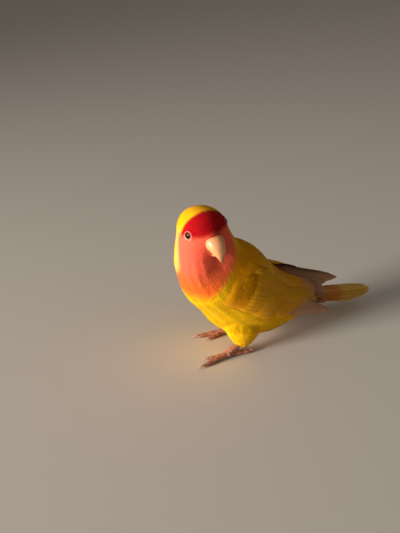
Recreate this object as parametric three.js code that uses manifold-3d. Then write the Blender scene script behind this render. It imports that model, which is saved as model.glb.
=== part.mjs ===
// A peach faced lovebird in its yellow form, life size: it stands low on both feet with its head turned over
// its left side, its folded wings held a little apart and its tail just clear of the ground.
// Millimetres. The bird's own frame looks along -Y, has its left side at +X and stands on z = 0 between
// its feet.
import * as THREE from "three";
import { mergeVertices } from "three/addons/utils/BufferGeometryUtils.js";
import Module from "manifold-3d";

const wasm = await Module();
wasm.setup();

const { Vector3, Matrix4, Euler, Quaternion } = THREE;
const { lerp, smoothstep, degToRad } = THREE.MathUtils;
const point = (x, y, z) => new Vector3(x, y, z);
const LEFT = 1;
const RIGHT = -1;

// Where the spot between the feet lies, so that the origin is under the middle of the whole bird.
const standingSpot = point(-0.4, -42.9, 0);
const clearance = 0.3;
const bodyRoom = 0.4;

// The head, whose own frame looks along -Y as the bird's does.
const headCentre = point(3.4, -16, 86.7);
const headTurn = { yaw: 90, nod: 2.5, lean: -9.5 };

const eye = {
  radius: 3.4,
  forward: 6.1,
  up: 5.4,
  sunk: 2.55,
  lid: { radius: 2.9, thickness: 0.6, rise: -0.15 },
  segments: { ball: [14, 8], lid: [6, 14] },
};

// How widely the masses of the plumage run into each other.
const blendWidth = 9;

const headFrame = new Matrix4().compose(
  headCentre,
  new Quaternion().setFromEuler(
    new Euler(degToRad(headTurn.nod), degToRad(headTurn.lean), degToRad(headTurn.yaw), "ZXY"),
  ),
  point(1, 1, 1),
);
const inHead = (forward, left, up) => point(left, -forward, up).applyMatrix4(headFrame);
const bodyFrame = new Matrix4();

const mass = (frame, centre, radii, tilt = 0) => ({
  radii,
  toLocal: frame
    .clone()
    .multiply(new Matrix4().makeTranslation(centre))
    .multiply(new Matrix4().makeRotationX(degToRad(tilt)))
    .invert(),
});
// Masses that the plumage rounds over, from the tail's root to the skull.
const masses = [
  mass(bodyFrame, point(0, 13, 39.7), point(21.2, 41, 24.1), -31),
  mass(bodyFrame, point(0, 22.5, 25), point(18.7, 34.3, 19.6), -10),
  mass(bodyFrame, point(0, -7.2, 53.4), point(21.1, 21, 19.9), -12),
  mass(bodyFrame, point(0, 11.5, 59.5), point(19.5, 18, 13), -38),
  mass(bodyFrame, point(0, 50.2, 24.7), point(13.8, 24, 13.6), -12),
  mass(bodyFrame, point(0.5, -14.8, 69.4), point(15, 17.3, 17), -6),
  mass(headFrame, point(0, 4.4, 2.2), point(13.9, 14.8, 12.1)),
  mass(headFrame, point(0, -3.8, 3.6), point(11.2, 9, 11.2)),
  mass(headFrame, point(10.2, -2.1, -16.6), point(7.6, 11.5, 14)),
  mass(headFrame, point(-10.2, -2.1, -16.6), point(7.6, 11.5, 14)),
  mass(headFrame, point(0, 2.7, -8), point(11.6, 10.1, 8.5)),
];

function ellipsoidDistance(p, { radii, toLocal }) {
  const q = p.clone().applyMatrix4(toLocal).divide(radii);
  const near = q.length();
  const slope = q.divide(radii).length();
  return slope > 1e-9 ? (near * (near - 1)) / slope : -Math.min(radii.x, radii.y, radii.z);
}

function smoothUnion(a, b) {
  const h = Math.max(blendWidth - Math.abs(a - b), 0) / blendWidth;
  return Math.min(a, b) - (h * h * blendWidth) / 4;
}

const plumageDistance = (p) => masses.map((m) => ellipsoidDistance(p, m)).reduce(smoothUnion);

// How far the plumage reaches from an inner point along a direction, or 0 where the point is outside.
function reach(from, direction) {
  const step = 2;
  const at = (t) => plumageDistance(from.clone().addScaledVector(direction, t));
  if (at(0) > 0) return 0;
  let outside = step;
  while (at(outside) < 0) outside += step;
  let inside = outside - step;
  for (let i = 0; i < 14; i += 1) {
    const middle = (inside + outside) / 2;
    if (at(middle) < 0) inside = middle;
    else outside = middle;
  }
  return (inside + outside) / 2;
}

// A closed solid from rings of equal count, each end closed by a fan of triangles.
function solidFromRings(rings) {
  const count = rings[0].length;
  const middle = (ring) => ring.reduce((sum, p) => sum.add(p), point(0, 0, 0)).divideScalar(count);
  const points = [...rings.flat(), middle(rings[0]), middle(rings.at(-1))];
  const first = rings.length * count;
  const triangles = [];
  rings.forEach((_, r) => {
    for (let i = 0; i < count; i += 1) {
      const next = (i + 1) % count;
      const a = r * count + i;
      const b = r * count + next;
      if (r === 0) triangles.push(first, b, a);
      if (r === rings.length - 1) triangles.push(first + 1, a, b);
      else triangles.push(a, b, a + count, b, b + count, a + count);
    }
  });
  return solidOf(points, triangles);
}

function solidOf(points, triangles) {
  const made = new wasm.Manifold(
    new wasm.Mesh({
      numProp: 3,
      vertProperties: Float32Array.from(points.flatMap((p) => p.toArray())),
      triVerts: Uint32Array.from(triangles),
    }),
  );
  return made.volume() < 0 ? solidOf(points, insideOut(triangles)) : made;
}

function insideOut(triangles) {
  const turned = [];
  for (let i = 0; i < triangles.length; i += 3) turned.push(triangles[i], triangles[i + 2], triangles[i + 1]);
  return turned;
}

// A three.js shape as a solid, for the round pieces.
function solidOfGeometry(geometry, matrix) {
  const bare = geometry.clone().applyMatrix4(matrix);
  bare.deleteAttribute("normal");
  bare.deleteAttribute("uv");
  const merged = mergeVertices(bare, 1e-4);
  const position = merged.attributes.position;
  const points = Array.from({ length: position.count }, (_, i) => point().fromBufferAttribute(position, i));
  return solidOf(points, [...merged.index.array]);
}

const unionOf = (solids) => wasm.Manifold.union(solids);
const largestOf = (solid) => solid.decompose().sort((a, b) => b.volume() - a.volume())[0];
const cutBy = (solid, ...cutters) =>
  largestOf(cutters.reduce((left, cutter) => left.subtract(cutter), solid));

// The plumage of head, neck and torso is one skin of rings along a spine, parted by two thin cuts.
const spine = new THREE.CatmullRomCurve3([
  point(0, 64, 20),
  point(0, 44, 26),
  point(0, 24, 33),
  point(0, 6, 45),
  point(0.5, -7, 60),
  inHead(-1.5, 0, -13),
  headCentre,
]);
const plumageRing = { sides: 24, torsoEnd: 0.66, neckEnd: 0.845, stations: { torso: 16, neck: 7, head: 6 } };
const roundedEnd = { rings: 7, lean: [86, 11] };

function spineStation(along, lean = 0, slide = 0) {
  const axis = spine.getTangentAt(along);
  const across = point(1, 0, 0).addScaledVector(axis, -axis.x).normalize();
  const centre = spine.getPointAt(along).addScaledVector(axis, slide);
  return { centre, axis, across, upward: axis.clone().cross(across), lean };
}

function plumageRingAt({ centre, axis, across, upward, lean }, grow) {
  return Array.from({ length: plumageRing.sides }, (_, i) => {
    const angle = (2 * Math.PI * i) / plumageRing.sides;
    const direction = across
      .clone()
      .multiplyScalar(Math.cos(angle) * Math.cos(lean))
      .addScaledVector(upward, Math.sin(angle) * Math.cos(lean))
      .addScaledVector(axis, Math.sin(lean));
    return centre.clone().addScaledVector(direction, reach(centre, direction) + grow);
  });
}

const spread = (count, from, to) => Array.from({ length: count }, (_, i) => lerp(from, to, i / (count - 1)));

function plumage(from, to, count, { grow = 0, tailCap = false, crownCap = false } = {}) {
  const leans = spread(roundedEnd.rings, degToRad(roundedEnd.lean[0]), degToRad(roundedEnd.lean[1]));
  const start = tailCap
    ? leans.map((lean) => spineStation(from, -lean))
    : [spineStation(from, 0, clearance / 2 - grow)];
  const end = crownCap
    ? leans.toReversed().map((lean) => spineStation(to, lean))
    : [spineStation(to, 0, grow - clearance / 2)];
  const middle = spread(count, from, to)
    .slice(tailCap ? 0 : 1, crownCap ? count : -1)
    .map((along) => spineStation(along));
  return solidFromRings([...start, ...middle, ...end].map((station) => plumageRingAt(station, grow)));
}

const { torsoEnd, neckEnd, stations: plumageStations } = plumageRing;
const torsoPlumage = (grow) => plumage(0, torsoEnd, plumageStations.torso, { grow, tailCap: true });
const neckPlumage = (grow) => plumage(torsoEnd, neckEnd, plumageStations.neck, { grow });
const headPlumage = () => plumage(neckEnd, 1, plumageStations.head, { crownCap: true });

// A tube of round or flattened sections along a list of { at, radius } stations.
function limb(stations, sides, { grow = 0, floor = true } = {}) {
  const line = new THREE.CatmullRomCurve3(stations.map((s) => s.at));
  const rings = stations.map(({ radius }, i) => {
    const axis = line.getTangent(i / (stations.length - 1));
    const across = axis.clone().cross(point(0, 0, 1)).normalize();
    const upward = across.clone().cross(axis);
    return Array.from({ length: sides }, (_, k) => {
      const angle = (2 * Math.PI * (k + 0.5)) / sides;
      const p = stations[i].at
        .clone()
        .addScaledVector(across, Math.cos(angle) * (radius + grow))
        .addScaledVector(upward, Math.sin(angle) * (radius + grow));
      if (floor) p.z = Math.max(p.z, 0);
      return p;
    });
  });
  return solidFromRings(rings);
}

// A feather: a thin vane with a raised shaft. place(along, across, height) puts it on what it grows from.
const vaneOutline = [
  { s: 0, width: 0.6 },
  { s: 0.5, width: 1 },
  { s: 0.88, width: 0.8 },
  { s: 1, width: 0.28 },
];
const shaftRise = 0.2;
const vaneThickness = 0.55;

function vane(place, { root, tip, width, thick = vaneThickness, heights, roll = 0 }) {
  const [along, across] = [tip[0] - root[0], tip[1] - root[1]];
  const length = Math.hypot(along, across);
  const normal = [-across / length, along / length];
  const rings = vaneOutline.map(({ s, width: share }) => {
    const half = (share * width) / 2;
    const height = lerp(heights[0], heights[1], smoothstep(s, 0, 0.5));
    const spot = (side, offset) =>
      place(
        root[0] + along * s + normal[0] * half * side,
        root[1] + across * s + normal[1] * half * side,
        height + offset - roll * side,
      );
    const top = thick / 2;
    return [
      spot(-1, top),
      spot(0, top + shaftRise),
      spot(1, top),
      spot(1, -top),
      spot(0, shaftRise - top),
      spot(-1, -top),
    ];
  });
  return solidFromRings(rings);
}

// The folded wings. A wing's own coordinates run along it from the bend and across it round the body's side.
// Where the body falls away behind, a wing keeps its rest distance from its own axis.
const wings = {
  left: { side: LEFT, reach: 1, bend: point(0, -10, 47), tip: point(0, 80, 14), rest: [20, 13] },
  right: { side: RIGHT, reach: 1.12, bend: point(0, -2, 49), tip: point(0, 98, 24.5), rest: [18.5, 9.5] },
};
const wingForm = {
  radius: { from: 23, to: 14, run: [20, 100] },
  rest: { run: [40, 95], upperShare: 0.45, turn: [0.1, 1.2] },
  softening: 3,
};
const wingRadius = (along) =>
  lerp(wingForm.radius.from, wingForm.radius.to, smoothstep(along, ...wingForm.radius.run));

function restDistance(rest, along, angle) {
  const { run, upperShare, turn } = wingForm.rest;
  return lerp(rest[0], rest[1], smoothstep(along, ...run)) * lerp(1, upperShare, smoothstep(angle, ...turn));
}

function wingPlace({ side, bend, tip, rest }) {
  const axis = tip.clone().sub(bend).normalize();
  const upward = point(side, 0, 0).cross(axis).multiplyScalar(side).normalize();
  return (along, across, height) => {
    const angle = across / wingRadius(along);
    const direction = point(side * Math.cos(angle), 0, 0).addScaledVector(upward, Math.sin(angle));
    const centre = bend.clone().addScaledVector(axis, along);
    const body = reach(centre, direction);
    const free = restDistance(rest, along, angle);
    const radius = (body + free + Math.hypot(body - free, wingForm.softening)) / 2;
    return centre.addScaledVector(direction, radius + height);
  };
}

// The bed that a wing's feathers grow from: how far it reaches across the wing and how high it is raised.
const bedStations = [
  { along: -3, low: 1, high: 9, rise: 0 },
  { along: 0, low: -3, high: 14, rise: 1.2 },
  { along: 6, low: -6, high: 19, rise: 1.9 },
  { along: 16, low: -8, high: 23, rise: 2.1 },
  { along: 30, low: -8.5, high: 24, rise: 1.6 },
  { along: 44, low: -8, high: 19, rise: 0.9 },
  { along: 56, low: -6, high: 12, rise: 0 },
];
const bed = { columns: 7, depth: 4, sunk: 0.3 };

function bedAt(along) {
  const last = bedStations.length - 1;
  const found = bedStations.findIndex((station) => station.along >= along);
  const after = found < 0 ? last : Math.max(found, 1);
  const [a, b] = [bedStations[after - 1], bedStations[after]];
  const t = THREE.MathUtils.clamp((along - a.along) / (b.along - a.along), 0, 1);
  return Object.fromEntries(Object.keys(a).map((key) => [key, lerp(a[key], b[key], t)]));
}

function bedRise(along, across) {
  const { low, high, rise } = bedAt(along);
  return rise * Math.sin(Math.PI * THREE.MathUtils.clamp((across - low) / (high - low), 0, 1));
}

function wingBed(place) {
  const rings = bedStations.map(({ along, low, high }) => {
    const rows = spread(bed.columns, low, high);
    const outer = rows.map((across) => place(along, across, bedRise(along, across) - bed.sunk));
    const inner = rows.map((across) => place(along, across, -bed.depth));
    return [...outer, ...inner.toReversed()];
  });
  return solidFromRings(rings);
}

// Tiers of a wing: rows of vanes from the lower edge up, each with roots and tips spread between two ends.
const wingTiers = [
  { name: "primaries", count: 5, roots: [[40, -4], [40, 4]], tips: [[93, -3], [70, 4.5]], width: 7,
    heights: [-2, -0.4], roll: 0.9 },
  { name: "secondaries", count: 6, roots: [[30, -4], [32, 16]], tips: [[58, -3.5], [74, 9]], width: 6.6,
    heights: [-2, 0.9], roll: 0.6 },
  { name: "greater coverts", count: 6, roots: [[20, -1], [22, 19]], tips: [[38, -1], [48, 16]], width: 6,
    heights: [-1.6, 1.4], roll: 0.5 },
  { name: "median coverts", count: 5, roots: [[9, -1], [11, 17]], tips: [[26, -3], [32, 18]], width: 6.6,
    heights: [-1.6, 1.4], roll: 0.5 },
  { name: "scapulars", count: 3, roots: [[14, 22], [32, 21]], tips: [[36, 23], [60, 16]], width: 9,
    heights: [-1.4, 1.3], roll: 0.4 },
];

const between = (ends, t) => [lerp(ends[0][0], ends[1][0], t), lerp(ends[0][1], ends[1][1], t)];

function tier(spec, { name, count, roots, tips, width, heights, roll }, grow = 0) {
  const place = wingPlace(spec);
  const onBed = (along, across, height) => place(along, across, bedRise(along, across) + height);
  return spread(count, 0, 1).map((t) => {
    const tip = between(tips, t);
    if (name === "primaries") tip[0] = tip[0] * spec.reach + grow;
    const size = { width: width + 2 * grow, thick: vaneThickness + 2 * grow };
    return vane(onBed, { root: between(roots, t), tip, heights, roll, ...size });
  });
}

const wing = (spec) => unionOf([wingBed(wingPlace(spec)), ...wingTiers.flatMap((row) => tier(spec, row))]);
const primariesRoom = (spec) => unionOf(tier(spec, wingTiers[0], clearance));

// The tail: twelve feathers in a shallow fan, with coverts above and below their roots.
const tail = { root: point(0, 60, 25), tip: point(0, 119, 13.5), droop: 0.012 };
const rectrices = {
  pairs: 6,
  width: 8,
  start: 4,
  outerShorter: 19,
  turn: [1.2, 7],
  offset: [1.2, 4.2],
  height: { root: 0, top: 1.6, step: 0.72, betweenSides: 0.36 },
};
const tailCoverts = {
  width: 8.4,
  start: 2,
  outerShorter: 0.22,
  rootHeight: 1,
  rows: [
    { count: 5, length: 20, height: 2.9, turn: 15, offset: 6.5 },
    { count: 4, length: 31, height: 2.1, turn: 9, offset: 5 },
    { count: 3, length: 29, height: -2.4, turn: 7, offset: 4 },
  ],
};
const tailCoreStations = [
  { along: -4, half: 8, rise: 4 },
  { along: 6, half: 7.5, rise: 3.4 },
  { along: 14, half: 6.5, rise: 2 },
  { along: 22, half: 5, rise: 0.8 },
];
const tailCoreSides = 12;

function tailPlace() {
  const axis = tail.tip.clone().sub(tail.root).normalize();
  const upward = axis.clone().cross(point(-1, 0, 0));
  return (along, across, height) =>
    tail.root
      .clone()
      .addScaledVector(axis, along)
      .addScaledVector(point(1, 0, 0), across)
      .addScaledVector(upward, height - tail.droop * across * across);
}

const tailLength = tail.tip.distanceTo(tail.root);
const fanned = (start, length, angle, offset) => {
  const turn = degToRad(angle);
  return {
    root: [start, offset],
    tip: [start + length * Math.cos(turn), offset + length * Math.sin(turn)],
  };
};

function rectrix(place, t, pair, side) {
  const { start, outerShorter, turn, offset, height, width } = rectrices;
  const length = tailLength - start - outerShorter * t * t;
  const lowered = height.step * pair + (side === RIGHT ? height.betweenSides : 0);
  return vane(place, {
    ...fanned(start, length, side * lerp(turn[0], turn[1], t), side * lerp(offset[0], offset[1], t)),
    width,
    heights: [height.root, height.top - lowered],
  });
}

function tailCovertRow(place, { count, length, height, turn, offset }) {
  const { start, outerShorter, rootHeight, width } = tailCoverts;
  return spread(count, -1, 1).map((t) =>
    vane(place, {
      ...fanned(start, length * (1 - outerShorter * t * t), turn * t, offset * t),
      width,
      heights: [rootHeight * Math.sign(height), height],
    }),
  );
}

function tailFeathers(place) {
  const pairs = spread(rectrices.pairs, 0, 1).flatMap((t, i) =>
    [LEFT, RIGHT].map((side) => rectrix(place, t, i, side)),
  );
  return [...pairs, ...tailCoverts.rows.flatMap((row) => tailCovertRow(place, row))];
}

function tailCore(place) {
  return solidFromRings(
    tailCoreStations.map(({ along, half, rise }) =>
      Array.from({ length: tailCoreSides }, (_, k) => {
        const angle = (2 * Math.PI * k) / tailCoreSides;
        return place(along, half * Math.cos(angle), rise * Math.sin(angle));
      }),
    ),
  );
}

function tailSolid() {
  const place = tailPlace();
  return unionOf([tailCore(place), ...tailFeathers(place)]);
}

// The legs. Each foot has two toes forward and two back, with flat soles on the ground.
const feet = {
  left: { side: LEFT, ball: point(14, -3.5, 2.5), heading: 3, kneeShift: 0 },
  right: { side: RIGHT, ball: point(-11.5, 9, 2.5), heading: 4, kneeShift: 1 },
};
const toes = [
  { name: "outer_front", turn: 7, length: 19, claw: 5.8, radius: 1.75 },
  { name: "inner_front", turn: -14, length: 13, claw: 5, radius: 1.6 },
  { name: "outer_back", turn: 168, length: 15.5, claw: 5, radius: 1.7 },
  { name: "inner_back", turn: -158, length: 9, claw: 4.2, radius: 1.5 },
];
const toeSides = 8;
const toeForm = {
  knuckles: 3,
  pads: [0.92, 1.08],
  taper: [1.05, 0.8],
  sole: [0.95, 0.82],
  lift: 0.7,
  end: [0.7, 0.55],
};
const clawForm = { inset: 0.6, bend: 1.35, stations: 5, sides: 6, width: 0.62, taper: 0.8, thinnest: 0.18 };
const clawArch = { up: 0.95, rise: 0.5, run: 1.4, fall: 0.55 };
const footWeb = [
  { shift: point(0, -1.8, -0.6), radius: 2.3 },
  { shift: point(0, 0, 0), radius: 2.9 },
  { shift: point(0, 2.2, 0.8), radius: 2.2 },
];

// Forward of a foot at a turn from its heading, towards the bird's outer side where the turn is positive.
function footDirection({ side, heading }, turn) {
  const angle = degToRad(heading + turn) * side;
  return point(Math.sin(angle), -Math.cos(angle), 0);
}

function toe(foot, { turn, length, radius }) {
  const forward = footDirection(foot, turn);
  const { knuckles, pads, taper, sole, lift, end } = toeForm;
  const stations = spread(knuckles * 2 + 1, 0, 1).map((t, i) => {
    const size = radius * lerp(taper[0], taper[1], t) * pads[i % 2];
    const at = foot.ball.clone().addScaledVector(forward, length * t);
    at.z = lerp(size * sole[0] + lift, size * sole[1], t);
    return { at, radius: size };
  });
  const last = stations.at(-1);
  const roundEnd = {
    at: last.at.clone().addScaledVector(forward, last.radius * end[0]),
    radius: last.radius * end[1],
  };
  return limb([...stations, roundEnd], toeSides);
}

function claw(foot, { turn, length, claw: clawLength, radius }, grow = 0) {
  const forward = footDirection(foot, turn);
  const base = foot.ball.clone().addScaledVector(forward, length - clawForm.inset);
  const stations = spread(clawForm.stations, 0, 1).map((t) => {
    const at = base.clone().addScaledVector(forward, clawLength * Math.sin(t * clawForm.bend));
    const arch = clawArch.rise * Math.sin(Math.PI * Math.min(t * clawArch.run, 1));
    at.z = clawArch.up * radius + arch - clawArch.fall * radius * t * t;
    const size = radius * clawForm.width * (1 - t) ** clawForm.taper;
    return { at, radius: Math.max(size, clawForm.thinnest) };
  });
  return limb(stations, clawForm.sides, { grow });
}

function footSolid(foot) {
  const web = limb(
    footWeb.map(({ shift, radius }) => ({ at: foot.ball.clone().add(shift), radius })),
    toeSides,
  );
  return unionOf([web, ...toes.map((t) => toe(foot, t))]);
}

// The shank runs from the ball of the foot back and up into the thigh's feathers, with a scute ridge at each
// step.
const shank = {
  start: point(0, 0.6, 1),
  run: point(-0.6, 12.5, 5.5),
  radius: [2.2, 2.5],
  scutes: { count: 5, hollow: -0.08, ridge: 0.16 },
};

function shankSolid(foot, grow = 0) {
  const from = foot.ball.clone().add(shank.start);
  const { count, hollow, ridge } = shank.scutes;
  const stations = spread(count * 2 + 1, 0, 1).map((t, i) => ({
    at: from.clone().add(point(shank.run.x * foot.side * t, shank.run.y * t, shank.run.z * t)),
    radius: lerp(shank.radius[0], shank.radius[1], t) + (i % 2 === 1 ? ridge : hollow),
  }));
  return limb(stations, toeSides, { grow });
}

// The thigh's feathers: a cone from the flank down to the foot.
const thighStations = [
  { up: 30, back: 15, side: -8, half: [8, 13] },
  { up: 24, back: 15, side: -6.5, half: [10.5, 15] },
  { up: 18, back: 14.5, side: -5, half: [10.6, 14] },
  { up: 12, back: 13.2, side: -3, half: [8.4, 10.8] },
  { up: 7.5, back: 12.2, side: -1.4, half: [5.4, 6.8] },
  { up: 4.6, back: 11.8, side: -0.7, half: [2.8, 3.7] },
];
const thighSides = 16;

function thighSolid({ side, ball, kneeShift }, grow = 0) {
  return solidFromRings(
    thighStations.map(({ up, back, side: out, half }, row) =>
      Array.from({ length: thighSides }, (_, k) => {
        const angle = (2 * Math.PI * k) / thighSides;
        const low = row === thighStations.length - 1 ? grow : 0;
        return point(
          ball.x + side * out + (half[0] + grow) * Math.cos(angle),
          ball.y + back - kneeShift + (half[1] + grow) * Math.sin(angle),
          up - low,
        );
      }),
    ),
  );
}

// The bill, in the head's frame: outlines of its ridge and cutting edge, as forward and up, and its half
// widths.
const upperBill = {
  ridge: [[10.5, 4.6], [15.2, 4.2], [19, 1.5], [21.2, -2.8], [21.5, -7], [20.7, -11.4]],
  edge: [[8.5, -4.6], [12.2, -5.6], [15.2, -6.4], [17.6, -7.6], [19.1, -9.4], [20.1, -11.7]],
  half: [5.6, 5.8, 5, 3.6, 2, 0.5],
};
const lowerBill = {
  ridge: [[8, -4.6], [11, -5.2], [13.4, -6], [15.8, -7.4]],
  edge: [[6, -9], [9, -9.9], [12.4, -10.2], [15.4, -9.2]],
  half: [4.2, 4.4, 3.8, 2.2],
};
const billForm = { sides: 14, squareness: 0.85, upperStations: 12, lowerStations: 7, roomStations: 9 };

function billSolid({ ridge, edge, half }, stations, grow = 0) {
  const curveOf = (outline) => new THREE.CatmullRomCurve3(outline.map(([f, u]) => point(0, f, u)));
  const ridgeLine = curveOf(ridge);
  const edgeLine = curveOf(edge);
  const halfLine = new THREE.CatmullRomCurve3(half.map((w, i) => point(w, i, 0)));
  return solidFromRings(
    spread(stations, 0, 1).map((t) => {
      const top = ridgeLine.getPoint(t);
      const low = edgeLine.getPoint(t);
      const width = halfLine.getPoint(t).x + grow;
      const middle = top.clone().add(low).divideScalar(2);
      const rise = top.clone().sub(low).divideScalar(2);
      rise.setLength(rise.length() + grow);
      return Array.from({ length: billForm.sides }, (_, k) => {
        const angle = (2 * Math.PI * k) / billForm.sides;
        const squared = (v) => Math.sign(v) * Math.abs(v) ** billForm.squareness;
        const p = middle.clone().addScaledVector(rise, squared(Math.sin(angle)));
        return inHead(p.y, width * squared(Math.cos(angle)), p.z);
      });
    }),
  );
}

// The cere: a low saddle over the root of the bill, with a nostril sunk in each side.
const cere = {
  forward: 12.7,
  up: 4.7,
  radii: [4.5, 2.1, 1.4],
  segments: [12, 7],
  nostril: { forward: 13.8, side: 2.6, up: 5.3, radius: 0.6, segments: [8, 6] },
};

function headPiece(geometry, forward, left, up, scale = point(1, 1, 1)) {
  const local = new Matrix4().compose(point(left, -forward, up), new Quaternion(), scale);
  return solidOfGeometry(geometry, headFrame.clone().multiply(local));
}

function cereSolid(grow = 0) {
  const [across, length, height] = cere.radii.map((r) => r + grow);
  const ball = new THREE.SphereGeometry(1, ...cere.segments);
  return headPiece(ball, cere.forward, 0, cere.up, point(across, length, height));
}

function nostrils() {
  const { forward, side, up, radius, segments } = cere.nostril;
  const ball = new THREE.SphereGeometry(radius, ...segments);
  return [LEFT, RIGHT].map((which) => headPiece(ball, forward, which * side, up));
}

// Where an eye sits: the plumage's surface beside the head and the way out of it.
function eyeSeat(side) {
  const inner = inHead(eye.forward, 0, eye.up);
  const outward = inHead(eye.forward, side, eye.up).sub(inner);
  const surface = inner.clone().addScaledVector(outward, reach(inner, outward));
  const probe = 0.5;
  const slope = (axis) =>
    plumageDistance(surface.clone().addScaledVector(axis, probe)) -
    plumageDistance(surface.clone().addScaledVector(axis, -probe));
  const normal = point(slope(point(1, 0, 0)), slope(point(0, 1, 0)), slope(point(0, 0, 1))).normalize();
  const turned = new Quaternion().setFromUnitVectors(point(0, 0, 1), normal);
  return (geometry, rise) =>
    solidOfGeometry(
      geometry,
      new Matrix4().compose(surface.clone().addScaledVector(normal, rise), turned, point(1, 1, 1)),
    );
}
const seats = { left: eyeSeat(LEFT), right: eyeSeat(RIGHT) };

function eyeball(seat, grow = 0) {
  return seat(new THREE.SphereGeometry(eye.radius + grow, ...eye.segments.ball), -eye.sunk);
}

function lid(seat) {
  const { radius, thickness, rise } = eye.lid;
  return seat(new THREE.TorusGeometry(radius, thickness, ...eye.segments.lid), rise);
}

// The finished pieces, each cut clear of what it grows from.
const billUpper = billSolid(upperBill, billForm.upperStations);
const billLower = billSolid(lowerBill, billForm.lowerStations);
const billUpperRoom = billSolid(upperBill, billForm.roomStations, clearance);
const billLowerRoom = billSolid(lowerBill, billForm.lowerStations, clearance);

const torso = torsoPlumage(0);
const torsoRoom = torsoPlumage(bodyRoom);
const neck = neckPlumage(0);
const neckRoom = neckPlumage(bodyRoom);
const head = cutBy(
  unionOf([headPlumage(), lid(seats.left), lid(seats.right)]),
  eyeball(seats.left, clearance),
  eyeball(seats.right, clearance),
  billUpperRoom,
  billLowerRoom,
  cereSolid(clearance),
);

const wingOf = (spec) => cutBy(wing(spec), torsoRoom, neckRoom);
const leftWing = wingOf(wings.left);
const rightWing = wingOf(wings.right);
const tailPiece = cutBy(tailSolid(), torsoRoom, primariesRoom(wings.left), primariesRoom(wings.right));

const colours = {
  yellow: { color: 0xf2c518, roughness: 0.85 },
  peach: { color: 0xf0603c, roughness: 0.85 },
  wing: { color: 0xe2b62a, roughness: 0.8 },
  tail: { color: 0xe0c050, roughness: 0.8 },
  bill: { color: 0xeac49a, roughness: 0.45 },
  bareSkin: { color: 0xe8cfc4, roughness: 0.7 },
  foot: { color: 0xd09a86, roughness: 0.7 },
  claw: { color: 0xb99a8c, roughness: 0.5 },
  eye: { color: 0x1c0d0a, roughness: 0.1 },
};
const materialOf = (look) => new THREE.MeshStandardMaterial({ ...look, metalness: 0 });
const materials = Object.fromEntries(Object.entries(colours).map(([name, look]) => [name, materialOf(look)]));

const bird = new THREE.Group();
bird.position.copy(standingSpot);

function addNode(name, solid, material) {
  const { vertProperties, triVerts, numProp } = solid.getMesh();
  const corners = [];
  for (const vertex of triVerts) {
    const start = vertex * numProp;
    corners.push(...vertProperties.subarray(start, start + 3));
  }
  const geometry = new THREE.BufferGeometry();
  geometry.setAttribute("position", new THREE.Float32BufferAttribute(corners, 3));
  geometry.computeVertexNormals();
  const mesh = new THREE.Mesh(geometry, material);
  mesh.name = name;
  bird.add(mesh);
}

addNode("torso", torso, materials.yellow);
addNode("neck", neck, materials.peach);
addNode("head", head, materials.peach);
addNode("upper_bill", billUpper, materials.bill);
addNode("lower_bill", cutBy(billLower, billUpperRoom), materials.bill);
addNode("cere", cutBy(cereSolid(), billUpperRoom, ...nostrils()), materials.bareSkin);
addNode("eye_left", eyeball(seats.left), materials.eye);
addNode("eye_right", eyeball(seats.right), materials.eye);
addNode("wing_left", leftWing, materials.wing);
addNode("wing_right", rightWing, materials.wing);
addNode("tail", tailPiece, materials.tail);

Object.entries(feet).forEach(([name, foot]) => {
  const thigh = cutBy(thighSolid(foot), torsoRoom, foot.side === LEFT ? leftWing : rightWing);
  const claws = toes.map((t) => claw(foot, t));
  const shankPiece = cutBy(shankSolid(foot), thighSolid(foot, clearance), torsoRoom);
  addNode(`thigh_${name}`, thigh, materials.yellow);
  addNode(`shank_${name}`, shankPiece, materials.foot);
  addNode(
    `foot_${name}`,
    cutBy(footSolid(foot), ...toes.map((t) => claw(foot, t, clearance)), shankSolid(foot, clearance)),
    materials.foot,
  );
  claws.forEach((piece, i) => addNode(`claw_${name}_${toes[i].name}`, piece, materials.claw));
});

export default bird;
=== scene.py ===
import math
from itertools import chain, product

import bmesh
import bpy
import numpy as np
from mathutils import Matrix, Vector
from mathutils.bvhtree import BVHTree


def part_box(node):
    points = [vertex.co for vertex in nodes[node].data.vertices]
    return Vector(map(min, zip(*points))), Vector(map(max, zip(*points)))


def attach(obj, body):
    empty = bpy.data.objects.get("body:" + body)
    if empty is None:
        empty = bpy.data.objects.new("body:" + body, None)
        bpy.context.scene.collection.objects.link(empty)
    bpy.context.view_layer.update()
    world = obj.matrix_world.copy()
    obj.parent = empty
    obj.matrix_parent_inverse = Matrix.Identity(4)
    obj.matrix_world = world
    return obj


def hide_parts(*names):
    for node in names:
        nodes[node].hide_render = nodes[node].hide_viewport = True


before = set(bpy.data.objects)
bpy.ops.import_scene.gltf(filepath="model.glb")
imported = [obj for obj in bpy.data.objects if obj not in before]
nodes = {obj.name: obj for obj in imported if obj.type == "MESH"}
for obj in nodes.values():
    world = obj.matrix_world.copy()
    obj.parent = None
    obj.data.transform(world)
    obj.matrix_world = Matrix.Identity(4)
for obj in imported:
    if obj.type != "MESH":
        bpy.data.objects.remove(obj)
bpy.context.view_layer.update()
mm = 0.001

# The bird's own frame is in millimetres, looks along -Y and stands on the spot between its feet.
standingSpot = np.array([-0.4, -42.9, 0.0])
headPose = {"centre": (3.4, -16.0, 86.7), "yaw": 90, "nod": 2.5, "lean": -9.5}


# Small helpers for points and blends.
def toWorld(points):
    return (np.asarray(points) + standingSpot) * mm


def toBird(points):
    return np.asarray(points) / mm - standingSpot


def unit(vectors):
    return vectors / np.maximum(np.linalg.norm(vectors, axis=-1, keepdims=True), 1e-9)


def smooth(x, low, high):
    t = np.clip((x - low) / (high - low), 0, 1)
    return t * t * (3 - 2 * t)


def mix(a, b, share):
    return a + (b - a) * share


def blended(a, b, share):
    return mix(a, b, share[:, None])


def dot(a, b):
    return (a * b).sum(-1)


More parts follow.
